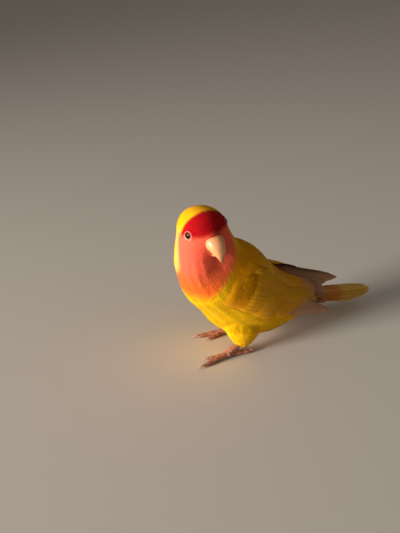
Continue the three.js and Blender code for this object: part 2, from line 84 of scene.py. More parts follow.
headAxes = np.array(
    Matrix.Rotation(math.radians(headPose["yaw"]), 3, "Z")
    @ Matrix.Rotation(math.radians(headPose["nod"]), 3, "X")
    @ Matrix.Rotation(math.radians(headPose["lean"]), 3, "Y")
)


def headTurned(forward, left, up):
    return headAxes @ np.array([left, -forward, up])


def inHead(forward, left, up):
    return np.array(headPose["centre"]) + headTurned(forward, left, up)


def headPlace(points):
    local = (points - np.array(headPose["centre"])) @ headAxes
    return -local[..., 1], local[..., 0], local[..., 2]


def linear(red, green, blue):
    srgb = np.array([red, green, blue]) / 255
    return np.where(srgb <= 0.04045, srgb / 12.92, ((srgb + 0.055) / 1.055) ** 2.4)


# The camera stands where the photograph was taken from.
view = {"azimuth": 60, "elevation": 33, "distance": 500, "heading": 151.99, "pitch": -27.06, "focal": 752}
imageLongSide = 533
sensor = 36


def makeCamera():
    azimuth, elevation = math.radians(view["azimuth"]), math.radians(view["elevation"])
    away = np.array([
        math.sin(azimuth) * math.cos(elevation),
        -math.cos(azimuth) * math.cos(elevation),
        math.sin(elevation),
    ])
    camera = bpy.data.objects.new("camera", bpy.data.cameras.new("camera"))
    bpy.context.scene.collection.objects.link(camera)
    camera.location = toWorld(away * view["distance"])
    camera.rotation_euler = (math.radians(90 + view["pitch"]), 0, math.radians(view["heading"] - 90))
    camera.data.sensor_width = sensor
    camera.data.lens = sensor * view["focal"] / imageLongSide
    bpy.context.scene.camera = camera


makeCamera()
bpy.context.scene.view_settings.view_transform = "Standard"
print("camera set")


# Materials. A setting with a capital is a socket of the node, and one without is its property. A socket is
# given a value, or another node's output to link to.
def setUp(owner, node, settings):
    for name, value in settings.items():
        if name[0].islower():
            setattr(node, name, value)
            continue
        socket = node.inputs[name.replace("_", " ")]
        if isinstance(value, bpy.types.NodeSocket):
            owner.node_tree.links.new(value, socket)
        else:
            socket.default_value = value
    return node


def newMaterial(name):
    material = bpy.data.materials.new(name)
    material.use_nodes = True
    return material


def addNode(material, kind, **settings):
    return setUp(material, material.node_tree.nodes.new(kind), settings)


def finishMaterial(material, **sockets):
    setUp(material, material.node_tree.nodes["Principled BSDF"], sockets)
    return material


def painted(material):
    return addNode(material, "ShaderNodeAttribute", attribute_name="plumage").outputs["Color"]


def noise(material, scale, detail, stretch=1.0):
    place = addNode(material, "ShaderNodeTexCoord").outputs["Object"]
    if stretch != 1:
        drawn = addNode(material, "ShaderNodeMapping", Vector=place, Scale=(1, 1, stretch))
        place = drawn.outputs["Vector"]
    return addNode(material, "ShaderNodeTexNoise", Vector=place, Scale=scale, Detail=detail).outputs["Fac"]


def tint(material, base, factor, low, high):
    ramp = addNode(material, "ShaderNodeMapRange", Value=factor, To_Min=low, To_Max=high)
    scaled = addNode(
        material, "ShaderNodeVectorMath", operation="SCALE", Vector=base, Scale=ramp.outputs["Result"]
    )
    return scaled.outputs["Vector"]


def bumped(material, height, strength, distance):
    bump = addNode(material, "ShaderNodeBump", Height=height, Strength=strength, Distance=distance)
    return bump.outputs["Normal"]


# Soft clouds of shade under a fine grain, each as scale, detail and contrast.
def mottledMaterial(name, clouds, grain, bump, stretch=1.0, **sockets):
    material = newMaterial(name)
    shade = painted(material)
    for scale, detail, contrast, drawn in ((*clouds, 1.0), (*grain, stretch)):
        pattern = noise(material, scale, detail, drawn)
        shade = tint(material, shade, pattern, 1 - contrast, 1 + contrast)
    return finishMaterial(material, Base_Color=shade, Normal=bumped(material, pattern, *bump), **sockets)


def vaneMaterial():
    material = newMaterial("wing feathers")
    across = addNode(material, "ShaderNodeUVMap", uv_map="barbs").outputs["UV"]
    barbs = addNode(
        material, "ShaderNodeTexWave", wave_type="BANDS", bands_direction="Y", Vector=across, Scale=0.9,
        Distortion=1.5, Detail=2.0, Detail_Scale=2.0,
    ).outputs["Fac"]
    patches = noise(material, scale=220.0, detail=3.0)
    shade = tint(material, painted(material), patches, low=0.9, high=1.1)
    return finishMaterial(
        material, Base_Color=tint(material, shade, barbs, low=0.8, high=1.08), Roughness=0.6,
        Normal=bumped(material, barbs, strength=0.6, distance=0.00015), Specular_IOR_Level=0.18,
        Subsurface_Weight=0.1, Subsurface_Scale=0.001,
    )


# Mesh objects from arrays, in the bird's frame.
def addObject(name, mesh):
    piece = bpy.data.objects.new(name, mesh)
    bpy.context.scene.collection.objects.link(piece)
    return piece


def addPiece(name, mesh, material, replaced=()):
    mesh.materials.clear()
    mesh.materials.append(material)
    piece = addObject(name, mesh)
    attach(piece, "root")
    if replaced:
        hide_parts(*replaced)


def writeAll(items, name, values, kind=np.float32):
    items.foreach_set(name, np.asarray(values, kind).ravel())


def arrayMesh(name, points, faceCorners, faceStarts):
    mesh = bpy.data.meshes.new(name)
    mesh.vertices.add(len(points))
    mesh.loops.add(len(faceCorners))
    mesh.polygons.add(len(faceStarts))
    writeAll(mesh.vertices, "co", toWorld(points))
    writeAll(mesh.loops, "vertex_index", faceCorners, np.int32)
    writeAll(mesh.polygons, "loop_start", faceStarts, np.int32)
    roundOff(mesh)
    mesh.update(calc_edges=True)
    mesh.validate()
    return mesh


def roundOff(mesh):
    writeAll(mesh.polygons, "use_smooth", np.ones(len(mesh.polygons)), bool)


def repeatFaces(unitFaces, unitPoints, copies):
    corners = np.concatenate(unitFaces)
    starts = np.cumsum([0] + [len(face) for face in unitFaces[:-1]])
    shift = np.arange(copies)[:, None]
    return (corners + shift * unitPoints).ravel(), (starts + shift * len(corners)).ravel()


def tubeFaces(rows, ring):
    spots = np.arange(rows * ring).reshape(rows, ring)
    beside = np.roll(spots, -1, axis=1)
    sides = np.stack([spots[:-1], beside[:-1], beside[1:], spots[1:]], axis=-1).reshape(-1, 4)
    return [*sides, spots[0][::-1], spots[-1]]


def paint(mesh, colours):
    layer = mesh.attributes.new("plumage", "FLOAT_COLOR", "POINT")
    writeAll(layer.data, "color", np.concatenate([colours, np.ones((len(colours), 1))], axis=1))


def readAll(items, name, width=1, kind=float):
    values = np.empty(len(items) * width, kind)
    items.foreach_get(name, values)
    return values.reshape(-1, width)


def cornersOf(mesh):
    return readAll(mesh.loops, "vertex_index", kind=np.int32)[:, 0]


def flat(colour):
    return lambda points: np.tile(colour, (len(points), 1))


def addMap(mesh, name, places):
    writeAll(mesh.uv_layers.new(name=name, do_init=False).uv, "vector", places[cornersOf(mesh)])


def surfaceOf(mesh):
    mesh.calc_loop_triangles()
    points = toBird(readAll(mesh.vertices, "co", 3))
    triangles = readAll(mesh.loop_triangles, "vertices", 3, np.int32)
    normals = readAll(mesh.vertex_normals, "vector", 3)
    tree = BVHTree.FromPolygons(points.tolist(), triangles.tolist())
    return {"points": points, "triangles": triangles, "normals": normals, "tree": tree}


def nearest(surface, points):
    found = [surface["tree"].find_nearest(Vector(p)) for p in points]
    triangles = surface["triangles"][[f[2] for f in found]]
    return np.array([f[0] for f in found]), unit(surface["normals"][triangles].mean(1))


# The flesh: the head, neck, torso and thighs in one form. The eyes and bill fill their sockets in it.
fleshNodes = ["torso", "neck", "head", "thigh_left", "thigh_right"]
plugNodes = ["eye_left", "eye_right", "upper_bill", "lower_bill", "cere"]
# The skin's shade share paints it darker than the plumage over it: painted shade deep in the coat.
skinSettings = {"overlap": 0.25, "voxel": 0.8, "smoothing": 8, "shade": 0.82}
weld = 1e-6


def joinedMesh(names, grow=0.0):
    bm = bmesh.new()
    for node in names:
        bm.from_mesh(nodes[node].data)
    bmesh.ops.remove_doubles(bm, verts=bm.verts, dist=weld)
    bm.normal_update()
    for vertex in bm.verts:
        vertex.co += vertex.normal * grow * mm
    return meshFrom(bm)


def meshFrom(bm):
    mesh = bpy.data.meshes.new("joined")
    bm.to_mesh(mesh)
    bm.free()
    return mesh


def finishPiece(mesh, name, material, colourOf, replaced=()):
    mesh.name = name
    roundOff(mesh)
    if colourOf:
        paint(mesh, colourOf(surfaceOf(mesh)["points"]))
    addPiece(name, mesh, material, replaced)


def remeshed(voxel):
    return "REMESH", {"mode": "VOXEL", "voxel_size": voxel * mm, "use_smooth_shade": True}


def smoothed(rounds):
    return "SMOOTH", {"factor": 0.5, "iterations": rounds}


def withModifiers(mesh, *modifiers):
    piece = addObject("shaping", mesh)
    for kind, settings in modifiers:
        modifier = piece.modifiers.new(kind, kind)
        for name, value in settings.items():
            setattr(modifier, name, value)
    shaped = bpy.data.meshes.new_from_object(piece.evaluated_get(bpy.context.evaluated_depsgraph_get()))
    bpy.data.objects.remove(piece)
    return shaped


def mergedForm(names):
    mesh = joinedMesh(names, skinSettings["overlap"])
    merging = remeshed(skinSettings["voxel"]), smoothed(skinSettings["smoothing"])
    return surfaceOf(withModifiers(mesh, *merging))


form = mergedForm(fleshNodes + plugNodes)
bodyForm = mergedForm(["torso", "neck", "head"])
hardParts = surfaceOf(joinedMesh(["upper_bill", "lower_bill"]))
thighForm = surfaceOf(joinedMesh(["thigh_left", "thigh_right"]))
print("form", len(form["points"]), "points")

# The spine that the plumage is laid along, from the tail's root to the skull.
spineKnots = np.array([
    (0, 64, 20), (0, 44, 26), (0, 24, 33), (0, 6, 45), (0.5, -7, 60), inHead(-1.5, 0, -13),
    headPose["centre"],
])
spineSettings = {"steps": 40, "points": 240, "block": 4000}


def spineLine():
    knots = np.vstack([2 * spineKnots[0] - spineKnots[1], spineKnots, 2 * spineKnots[-1] - spineKnots[-2]])
    line = []
    for i in range(1, len(knots) - 2):
        a, b, c, d = knots[i - 1 : i + 3]
        square = 2 * a - 5 * b + 4 * c - d
        cube = 3 * b - a - 3 * c + d
        for t in np.linspace(0, 1, spineSettings["steps"], endpoint=False):
            line.append(0.5 * (2 * b + (c - a) * t + square * t**2 + cube * t**3))
    line = np.array(line + [knots[-2]])
    run = np.concatenate([[0], np.cumsum(np.linalg.norm(np.diff(line, axis=0), axis=1))])
    even = np.linspace(0, run[-1], spineSettings["points"])
    return np.stack([np.interp(even, run, line[:, k]) for k in range(3)], axis=1)


spine = spineLine()
spineAxis = unit(np.gradient(spine, axis=0))


def spinePlace(points):
    index = np.empty(len(points), int)
    step = spineSettings["block"]
    for start in range(0, len(points), step):
        block = points[start : start + step]
        index[start : start + step] = ((block[:, None, :] - spine[None]) ** 2).sum(-1).argmin(1)
    return index


def roundSpine(points):
    index = spinePlace(points)
    axis = spineAxis[index]
    across = unit(np.array([1.0, 0, 0]) - axis * axis[:, :1])
    return index, axis, across, np.cross(axis, across), points - spine[index]


# Where a feather's colours are baked: round the spine across the map, and along it up the map.
bakeArea = {"width": 0.96, "low": 0.04, "height": 0.9, "end": 1.02, "slope": 0.001}


def unwrap(points):
    index, axis, across, upward, offset = roundSpine(points)
    angle = np.arctan2(dot(offset, upward), dot(offset, across)) / (2 * math.pi)
    along = np.clip(index / len(spine) + bakeArea["slope"] * dot(offset, axis), 0, bakeArea["end"])
    return np.stack([0.5 + angle * bakeArea["width"], bakeArea["low"] + bakeArea["height"] * along], axis=1)


# How the plumage lies: away from the bill over the head, along the spine to the tail, and down the thighs.
billRoot = inHead(14, 0, 3)
eyeCentres = [toBird(np.mean([np.array(v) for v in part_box(n)], axis=0)) for n in ("eye_left", "eye_right")]
lieSettings = {"fromBill": (13, 34), "downThigh": (0.0, 0.35, -1.0), "roundEye": (9, 4.5), "eyePush": 1.15}
thighEdge = {"height": (22, 12), "reach": 2.5, "full": 0.8}


def lieOf(points, normals):
    fromBill = points - billRoot
    tailward = -spineAxis[spinePlace(points)]
    share = smooth(np.linalg.norm(fromBill, axis=1), *lieSettings["fromBill"])
    lie = blended(unit(fromBill), tailward, share)
    lie = blended(lie, np.array(lieSettings["downThigh"]), nearThigh(points))
    for centre in eyeCentres:
        away = unit(points - centre)
        near = smooth(np.linalg.norm(points - centre, axis=1), *lieSettings["roundEye"])
        lie = lie - away * (np.minimum(dot(lie, away), 0) * near * lieSettings["eyePush"])[:, None]
    return flatten(lie, normals)


def flatten(lie, normals):
    return unit(lie - normals * dot(lie, normals)[:, None])


def nearThigh(points):
    low = smooth(points[:, 2], *thighEdge["height"])
    share = np.zeros(len(points))
    for i in np.flatnonzero(low > 0):
        found = thighForm["tree"].find_nearest(Vector(points[i]), thighEdge["reach"])
        if found[0] is not None:
            share[i] = smooth(found[3], thighEdge["reach"], thighEdge["full"])
    return share * low


def fromEyes(points):
    return np.min([np.linalg.norm(points - centre, axis=1) for centre in eyeCentres], axis=0)


# Sizes of the coat's feathers in millimetres: on the face, on the body, and the share kept on the thighs.
coatSizes = {
    "length": (2.4, 7.2, 0.75),
    "width": (1.15, 4.7, 0.7),
    "spacing": (0.52, 1.5, 0.8),
    "depth": (0.32, 1.15, 0.8),
}
coatGrowth = {"fromBill": (4, 62), "fromEyes": (2, 22), "eyePower": 0.4}


def coatSize(points):
    big = smooth(np.linalg.norm(points - billRoot, axis=1), *coatGrowth["fromBill"])
    big = big * smooth(fromEyes(points), *coatGrowth["fromEyes"]) ** coatGrowth["eyePower"]
    thigh = nearThigh(points)
    return {
        name: mix(face, body, big) * mix(1, onThigh, thigh)
        for name, (face, body, onThigh) in coatSizes.items()
    }


# Colours of the plumage, laid out on the head and body.
colours = {
    "yellow": linear(255, 196, 8),
    # The upward-facing back is painted a darker yellow than the underside: painted shade.
    "paintedBackShade": linear(234, 158, 3),
    "crown": linear(251, 184, 12),
    "belly": linear(252, 190, 6),
    "wing": linear(234, 162, 2),
    "red": linear(182, 8, 18),
    "salmon": linear(250, 104, 78),
    "bib": linear(250, 112, 40),
    # A pale rim painted along the nape on its lit side: a painted highlight.
    "litRim": linear(248, 196, 116),
    # Rump, cream and mauve stand for white feathers, painted darker and warmer: painted shade with painted
    # warm reflected light.
    "rump": linear(200, 146, 96),
    "cream": linear(220, 172, 134),
    "mauve": linear(188, 130, 98),
    "tail": linear(244, 192, 84),
    "patch": linear(224, 84, 30),
}
# The edge of the red and salmon face down the neck: height, then the angles where it ends to the bird's
# left and to its right, counted round the neck from the bird's left side.
faceEdge = {
    "height": (44.5, 47, 50, 55, 60, 64, 68, 72, 77, 84, 93),
    "left": (-76, -63, -47, -32, -14, 2, 17, 31, 43, 53, 52),
    "right": (-78, -88, -100, -110, -108, -96, -86, -81, -84, -93, -104),
}
faceAxis = {"height": (46, 86), "x": (0, 3.4), "y": (-4, -16)}
faceSoftness = 7
redEdge = {"rear": 5.3, "curve": 0.023, "slant": 0.2, "low": 4.2, "lowAside": 4.4, "softness": 1.5}
# Where each marking begins and is full, in millimetres. The painted shade on the back goes by the share that
# faces up.
markings = {
    "neckFoot": (45.5, 56.5), "redRear": (-1, 1), "redJoin": (2, 7), "redAside": (6, 14),
    "paintedBackShade": (-0.3, 0.4), "crown": (72, 86), "belly": (36, 20), "rumpBack": (47, 60),
    "rumpHeight": (20, 28), "litRimEdge": (-26, -10), "litRimHeight": (56, 66), "litRimTop": (9, 3),
    "litRimSide": (4, -6), "bib": (76, 56),
}
# How strongly the painted highlight along the nape is laid on.
litRimShare = 0.7


def marking(name, value):
    return smooth(value, *markings[name])


def faceReach(points):
    height = points[:, 2]
    rise = smooth(height, *faceAxis["height"])
    aside = points[:, 0] - mix(*faceAxis["x"], rise)
    behind = points[:, 1] - mix(*faceAxis["y"], rise)
    angle = np.degrees(np.arctan2(behind, aside))
    leftEdge = np.interp(height, faceEdge["height"], faceEdge["left"])
    rightEdge = np.interp(height, faceEdge["height"], faceEdge["right"])
    return np.minimum(leftEdge - angle, angle - rightEdge)


def plumageColour(points):
    forward, left, up = headPlace(points)
    height = points[:, 2]
    _, _, _, upward, offset = roundSpine(points)
    inside = faceReach(points)
    neck = smooth(inside, -faceSoftness, faceSoftness) * marking("neckFoot", height)
    rear = redEdge["rear"] - redEdge["curve"] * left**2 + redEdge["slant"] * np.maximum(left, 0)
    face = mix(neck, marking("redRear", forward - rear), marking("redJoin", up))
    lowEdge = mix(redEdge["low"], redEdge["lowAside"], marking("redAside", np.abs(left)))
    red = smooth(up - lowEdge, -redEdge["softness"], redEdge["softness"])
    # Painted shade: the plumage is painted darker as it faces up.
    body = blended(colours["yellow"], colours["paintedBackShade"], marking("paintedBackShade", dot(unit(offset), upward)))
    body = blended(body, colours["crown"], marking("crown", height))
    body = blended(body, colours["belly"], marking("belly", height))
    # The white rump is painted in its darker, warmer shaded tone: painted shade.
    body = blended(body, colours["rump"], marking("rumpBack", points[:, 1]) * marking("rumpHeight", height))
    # Painted highlight: a pale rim beyond the edge of the face, on the nape's lit side.
    litRim = marking("litRimEdge", inside) * marking("litRimHeight", height) * marking("litRimTop", up)
    body = blended(body, colours["litRim"], litRimShare * litRim * marking("litRimSide", left))
    bib = blended(colours["salmon"], colours["bib"], marking("bib", height))
    return blended(body, blended(bib, colours["red"], red), face)


# Soft feathers: each is a fan of thin closed blades from one root, lying along the skin.
bladeFaces = [(0, 2, 1), (0, 3, 2), (0, 1, 3), (1, 2, 4), (2, 3, 4), (3, 1, 4)]
bladeUnder = [2, 5]  # the faces on the skin's side
bladeCorners = [(0, 0, 0), (1, -1, 0), (1, 0, 1), (1, 1, 0), (2, 0, 0)]  # station, sideways and up
bladeRun = [0, 0.55, 1.0]  # along the blade at its root, its middle and its tip
bladeRise = np.array([-0.3, 0.75, 0.85])
# Each blade is painted darker at its root, under the blades over it, and a little lighter at its tip:
# painted shade and painted light.
bladePaintedShade = np.array([0.84, 0.96, 0.96, 0.96, 1.06])
bladeMapped = np.array([-0.45, 0, 0, 0, 0.45])
feather = {
    "fan": 13, "fanJitter": 0.2, "splay": 4, "rootSpread": 0.28, "overlap": 2.5, "ridge": 0.08,
    "sideShorter": 0.22, "lengthJitter": 0.1, "shortest": 0.5, "tipRise": 0.9, "tipJitter": 0.25,
    "roundness": 0.15, "lean": 0.22, "leanJitter": 0.04, "shadeJitter": 0.025, "bladeShadeJitter": 0.03,
}
bakePatch = 0.003
scatterCell = 1.3


def scatter(surface, perSquare, spacingOf, keep, draw):
    corners = surface["points"][surface["triangles"]]
    sides = corners[:, 1:] - corners[:, :1]
    areas = np.linalg.norm(np.cross(sides[:, 0], sides[:, 1]), axis=1) / 2
    count = int(areas.sum() * perSquare)
    chosen = draw.choice(len(areas), count, p=areas / areas.sum())
    a, b = draw.random((2, count, 1))
    over = (a + b) > 1
    a, b = np.where(over, 1 - a, a), np.where(over, 1 - b, b)
    shares = np.stack([1 - a - b, a, b], axis=1)
    spots = (corners[chosen] * shares).sum(1)
    facing = unit((surface["normals"][surface["triangles"][chosen]] * shares).sum(1))
    kept = keep(spots)
    spots, facing = spots[kept], facing[kept]
    chosen = thinned(spots, spacingOf(spots))
    return spots[chosen], facing[chosen]


def thinned(spots, spacing):
    taken, chosen = {}, []
    cells = np.floor(spots / scatterCell).astype(int).tolist()
    for i, (place, cell) in enumerate(zip(spots.tolist(), cells)):
        reach = int(math.ceil(spacing[i] / scatterCell))
        around = product(*(range(k - reach, k + reach + 1) for k in cell))
        near = chain.from_iterable(taken.get(beside, ()) for beside in around)
        if all(math.dist(place, other) >= spacing[i] for other in near):
            taken.setdefault(tuple(cell), []).append(place)
            chosen.append(i)
    return np.array(chosen)


def growFeathers(name, surface, roots, facing, lie, size, blades, colourOf, draw):
    count = len(roots)
    side = np.cross(lie, facing)
    fanned = np.tile(np.linspace(-1, 1, blades), count)
    owner = np.repeat(np.arange(count), blades)
    turn = np.radians(feather["splay"] * draw.standard_normal(count))[owner]
    opened = 1 + feather["fanJitter"] * draw.standard_normal(len(owner))
    turn = turn + np.radians(feather["fan"]) * fanned * opened
    jitter = feather["lengthJitter"] * draw.standard_normal(len(owner))
    length = size["length"][owner] * (1 - feather["sideShorter"] * fanned**2 + jitter)
    length = np.maximum(length, feather["shortest"])
    heading = lie[owner] * np.cos(turn)[:, None] + side[owner] * np.sin(turn)[:, None]
    root = roots[owner] + side[owner] * (fanned * size["width"][owner] * feather["rootSpread"])[:, None]
    end, endFacing = nearest(surface, root + heading * length[:, None])
    start = facing[owner]
    chord = end - root
    bend = dot(endFacing - start, chord) / 8  # the skin's rise over the chord
    across = unit(np.cross(chord, start))
    half = size["width"][owner][:, None] / blades * feather["overlap"] / 2
    ridge = feather["ridge"] * half * 2
    rise = bladeRise * size["depth"][owner][:, None]
    rise[:, 2] *= feather["tipRise"] + feather["tipJitter"] * draw.random(len(owner))
    leaning = feather["lean"] * fanned[:, None] * side[owner]
    leaning = leaning + feather["leanJitter"] * draw.standard_normal((len(owner), 3))
    points = np.empty((len(owner), len(bladeCorners), 3))
    normals = np.empty_like(points)
    for corner, (station, sideways, lift) in enumerate(bladeCorners):
        run = bladeRun[station]
        up = unit(mix(start, endFacing, run))
        arch = (bend * 4 * run * (1 - run) + rise[:, station])[:, None]
        middle = mix(root, end, run) + up * arch
        points[:, corner] = middle + across * half * sideways + up * ridge * lift
        normals[:, corner] = unit(up + across * sideways * feather["roundness"] + leaning)
    shade = 1 + feather["shadeJitter"] * draw.standard_normal((count, 1))[owner]
    shade = shade + feather["bladeShadeJitter"] * draw.standard_normal((len(owner), 1))
    tones = (colourOf(roots)[owner] * shade)[:, None, :] * bladePaintedShade[None, :, None]
    places = unwrap(roots)[owner][:, None, :] + bakePatch * np.stack([
        np.repeat(fanned[:, None] * bladeMapped[-1], len(bladeCorners), axis=1),
        np.tile(bladeMapped, (len(owner), 1)),
    ], axis=2)
    corners, starts = repeatFaces(bladeFaces, len(bladeCorners), len(owner))
    mesh = arrayMesh(name, points.reshape(-1, 3), corners, starts)
    paint(mesh, tones.reshape(-1, 3).clip(0, 1))
    addMap(mesh, "OFBake", places.reshape(-1, 2))
    setNormals(mesh, normals.reshape(-1, 3))
    addPiece(name, mesh, coatMaterial)


def setNormals(mesh, normals):
    corners = cornersOf(mesh)
    under = np.isin(np.arange(len(corners)) // 3 % len(bladeFaces), bladeUnder)
    mesh.normals_split_custom_set((normals[corners] * np.where(under, -1.0, 1.0)[:, None]).tolist())


# The coat in regions, each a piece of its own, told apart by their share of the spine.
coat = {
    "perSquare": 9.0, "eyeClear": 3.7, "billClear": 0.25, "lowest": 4, "front": 2, "thigh": 0.3,
    "head": 0.8, "neck": 0.6, "shoulders": 0.38, "belly": 0.2, "faceBlades": 22, "bodyBlades": 27,
}
coatDraw = np.random.default_rng(26)
coatMaterial = mottledMaterial(
    "soft plumage", clouds=(160.0, 3.0, 0.12), grain=(1800.0, 2.0, 0.07), bump=(0.25, 0.0002),
    Roughness=0.75, Sheen_Weight=0.02, Sheen_Roughness=0.6, Specular_IOR_Level=0.06,
    Subsurface_Weight=0.12, Subsurface_Scale=0.0015,
)


def offHardParts(points):
    kept = (fromEyes(points) > coat["eyeClear"]) & (points[:, 2] > coat["lowest"])
    for i in np.flatnonzero(kept):
        point = Vector(points[i])
        where, normal, _, distance = hardParts["tree"].find_nearest(point)
        kept[i] = (point - where).dot(normal) > 0 and distance > coat["billClear"]
    return kept


def makeSkin():
    depth = coatSize(form["points"])["depth"] + skinSettings["overlap"]
    points = form["points"] - form["normals"] * depth[:, None]
    starts = np.arange(len(form["triangles"])) * 3
    mesh = arrayMesh("skin", points, form["triangles"].ravel(), starts)
    # Painted shade: the skin is the plumage's colour, darkened.
    paint(mesh, plumageColour(form["points"]) * skinSettings["shade"])
    addPiece("skin", mesh, coatMaterial, fleshNodes)
    return surfaceOf(mesh)


skin = makeSkin()
print("skin made")


def growCoat():
    roots, facing = scatter(
        skin, coat["perSquare"], lambda points: coatSize(points)["spacing"], offHardParts, coatDraw
    )
    lie = lieOf(roots, facing)
    size = coatSize(roots)
    index = spinePlace(roots) / len(spine)
    forward, left, _ = headPlace(roots)
    head, neck = index > coat["head"], index > coat["neck"]
    front = forward > coat["front"]
    thigh = nearThigh(roots) > coat["thigh"]
    body = ~head & ~thigh
    halved = {
        "face": (head & front, left), "nape": (head & ~front, left), "neck": (body & neck, roots[:, 0]),
    }
    regions = {}
    for name, (within, aside) in halved.items():
        regions[f"coat_{name}_left"] = within & (aside >= 0)
        regions[f"coat_{name}_right"] = within & (aside < 0)
    regions |= {
        "coat_shoulders": body & ~neck & (index > coat["shoulders"]),
        "coat_belly": body & (index <= coat["shoulders"]) & (index > coat["belly"]),
        "coat_vent": body & (index <= coat["belly"]),
        "coat_thighs": ~head & thigh,
    }
    for name, chosen in regions.items():
        face = "face" in name
        part = {key: value[chosen] for key, value in size.items()}
        growFeathers(
            name, skin, roots[chosen], facing[chosen], lie[chosen], part,
            coat["faceBlades" if face else "bodyBlades"], plumageColour, coatDraw,
        )
        print(name, int(chosen.sum()), "feathers")


growCoat()

# Wings, placed along the wing from its bend and across it round the side, as in the solids.
wings = {
    "left": {
        "side": 1, "reach": 1.0, "bend": (0, -10, 47), "tip": (0, 80, 14), "rest": (20, 13), "drop": 0,
    },
    "right": {
        "side": -1, "reach": 1.23, "bend": (0, -2, 49), "tip": (0, 98, 24.5), "rest": (18.5, 9.5),
        "drop": 6,
    },
}
wingGrid = {"along": np.arange(-8.0, 116.0, 2.0), "across": np.arange(-16.0, 38.0, 2.0), "step": 2}
wingCurve = {
    "round": (23, 14), "roundAlong": (20, 100), "restAlong": (40, 95), "upper": 0.45,
    "upperAngle": (0.1, 1.2), "join": 3, "softening": (2, 0.5),
}


def axisOf(start, end):
    start = np.array(start, float)
    return start, unit(np.array(end) - start)


def wingMap(spec):
    bend, axis = axisOf(spec["bend"], spec["tip"])
    upward = unit(np.cross(np.array([spec["side"], 0, 0]), axis) * spec["side"])
    base = np.empty((len(wingGrid["along"]), len(wingGrid["across"]), 3))
    outward = np.empty_like(base)
    for i, along in enumerate(wingGrid["along"]):
        centre = bend + axis * along
        where, normal, _, _ = bodyForm["tree"].find_nearest(Vector(centre))
        within = (Vector(centre) - where).dot(normal) < 0
        roundness = mix(*wingCurve["round"], smooth(along, *wingCurve["roundAlong"]))
        rest = mix(*spec["rest"], smooth(along, *wingCurve["restAlong"]))
        for j, across in enumerate(wingGrid["across"]):
            angle = across / roundness
            way = np.array([spec["side"] * math.cos(angle), 0, 0]) + upward * math.sin(angle)
            hit = bodyForm["tree"].ray_cast(Vector(centre), Vector(way)) if within else (None,)
            body = hit[3] - skinSettings["overlap"] if hit[0] is not None else 0.0
            free = rest * mix(1, wingCurve["upper"], smooth(angle, *wingCurve["upperAngle"]))
            radius = (body + free + math.hypot(body - free, wingCurve["join"])) / 2
            base[i, j] = centre + way * radius
            outward[i, j] = way
    return softened(base), outward


def softened(base):
    rounds, share = wingCurve["softening"]
    for _ in range(rounds):
        around = (base[:-2, 1:-1] + base[2:, 1:-1] + base[1:-1, :-2] + base[1:-1, 2:]) / 4
        base = base.copy()
        base[1:-1, 1:-1] = mix(base[1:-1, 1:-1], around, share)
    return base


def gridPlace(values, steps):
    place = np.clip((values - steps[0]) / wingGrid["step"], 0, len(steps) - 1.001)  # in the last cell
    return place.astype(int), (place - place.astype(int))[..., None]


def wingPlacer(spec):
    base, outward = wingMap(spec)

    def place(along, across, height):
        i, u = gridPlace(along, wingGrid["along"])
        j, v = gridPlace(across, wingGrid["across"])

        def look(grid):
            low = mix(grid[i, j], grid[i + 1, j], u)
            high = mix(grid[i, j + 1], grid[i + 1, j + 1], u)
            return mix(low, high, v)

        return look(base) + unit(look(outward)) * height[..., None]

    return place


# The bed of flesh under the coverts: its low and high edges across the wing, and how far it rises.
bed = {
    "along": (-5, 0, 6, 16, 30, 44, 56),
    "low": (0, -4, -6, -8, -8.5, -8, -6),
    "high": (13, 18, 21, 23, 24, 19, 12),
    "rise": (0, 0.7, 1.2, 1.8, 1.8, 1.1, 0),
}


def bedRise(along, across):
    low, high, rise = (np.interp(along, bed["along"], bed[key]) for key in ("low", "high", "rise"))
    return rise * np.sin(math.pi * np.clip((across - low) / (high - low), 0, 1))


# A vane: a thin closed blade on both sides of a raised shaft, with slightly ragged edges.
vaneColumns = np.array([-1, -0.7, -0.4, -0.1, 0, 0.1, 0.4, 0.7, 1])
vaneStations = np.array([0, 0.06, 0.14, 0.24, 0.36, 0.48, 0.6, 0.7, 0.79, 0.86, 0.92, 0.965, 1])
vaneShape = {
    "thick": 0.2, "thinning": 1.5, "shaft": 0.12, "shaftHalf": 0.12, "shaftEnd": 0.4, "camber": 0.06,
    "ragged": 0.04, "quill": 0.22, "quillRun": (0.02, 0.34), "roundFrom": 0.62, "blunt": 0.0025,
    "settle": 0.5,
}
vaneMap = {
    "acrossBarbs": 0.5, "slant": 2.2, "middle": 0.25, "half": 0.2, "under": 0.45, "low": 0.05, "long": 0.9,
}
vaneAcross = np.concatenate([vaneColumns, vaneColumns[-2:0:-1]])
vaneUpper = np.repeat([1, -1], [len(vaneColumns), len(vaneColumns) - 2])


def vaneOutline(pointed):
    towardTip = np.clip(vaneStations - vaneShape["roundFrom"], 0, 1) / (1 - vaneShape["roundFrom"])
    rounded = np.maximum(1 - towardTip**pointed, vaneShape["blunt"]) ** 0.5
    return mix(vaneShape["quill"], 1, smooth(vaneStations, *vaneShape["quillRun"])) * rounded


